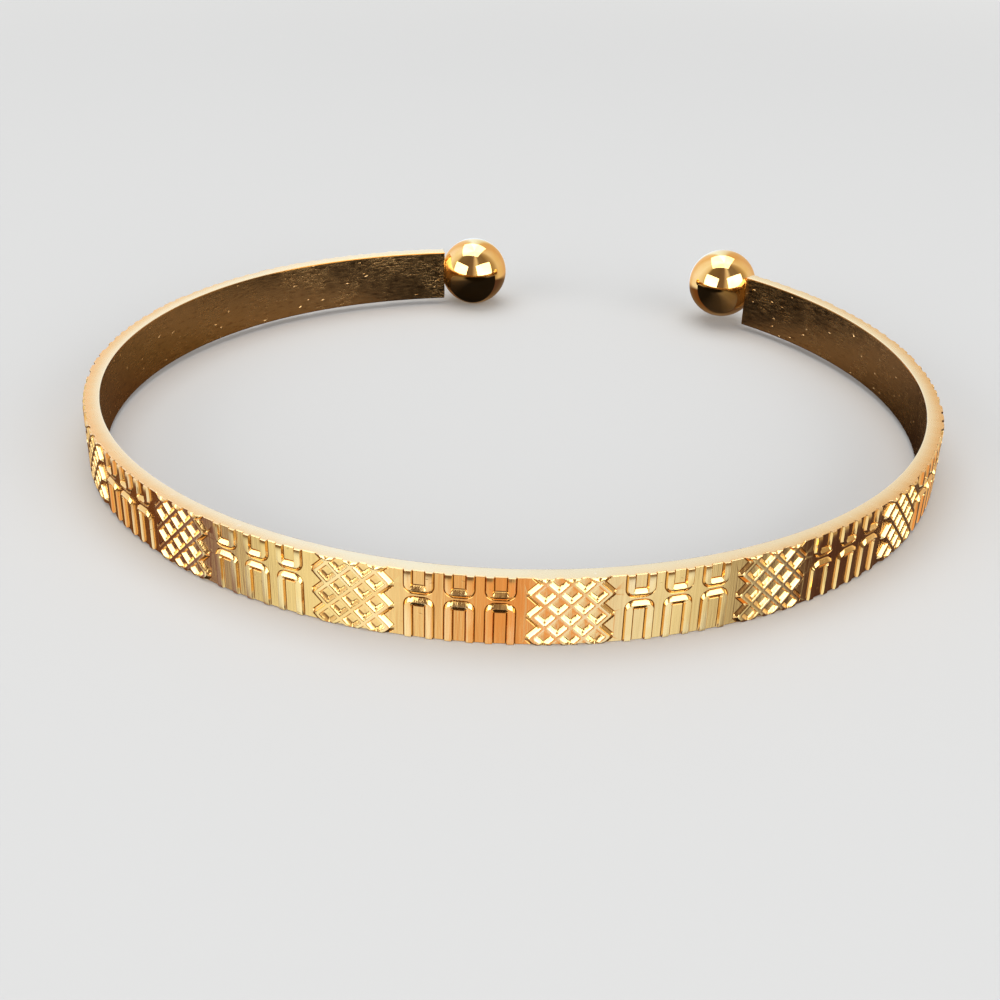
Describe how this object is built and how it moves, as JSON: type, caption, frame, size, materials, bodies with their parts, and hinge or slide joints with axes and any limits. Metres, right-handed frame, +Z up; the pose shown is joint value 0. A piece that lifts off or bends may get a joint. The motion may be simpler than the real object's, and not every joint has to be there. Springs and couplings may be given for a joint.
{
  "type": "bangle",
  "caption": "Open cuff bangle: a flat gold-coloured strip with pressed lattice and arch relief, bent to an oval, with a polished ball on each end.",
  "frame": {"origin": "centre of the bounding box at its lowest level, where the bangle lies on a table", "axes": "+Z up through the wrist hollow, +Y towards the opening between the balls, +X to the right seen from the closed side"},
  "size_m": [0.0658, 0.0642, 0.007],
  "materials": {
    "pressed_gold": "satin gold plate",
    "polished_gold": "mirror polish"
  },
  "bodies": {
    "root": {"band": "pressed_gold", "ball_left": "polished_gold", "ball_right": "polished_gold"}
  },
  "joints": []
}
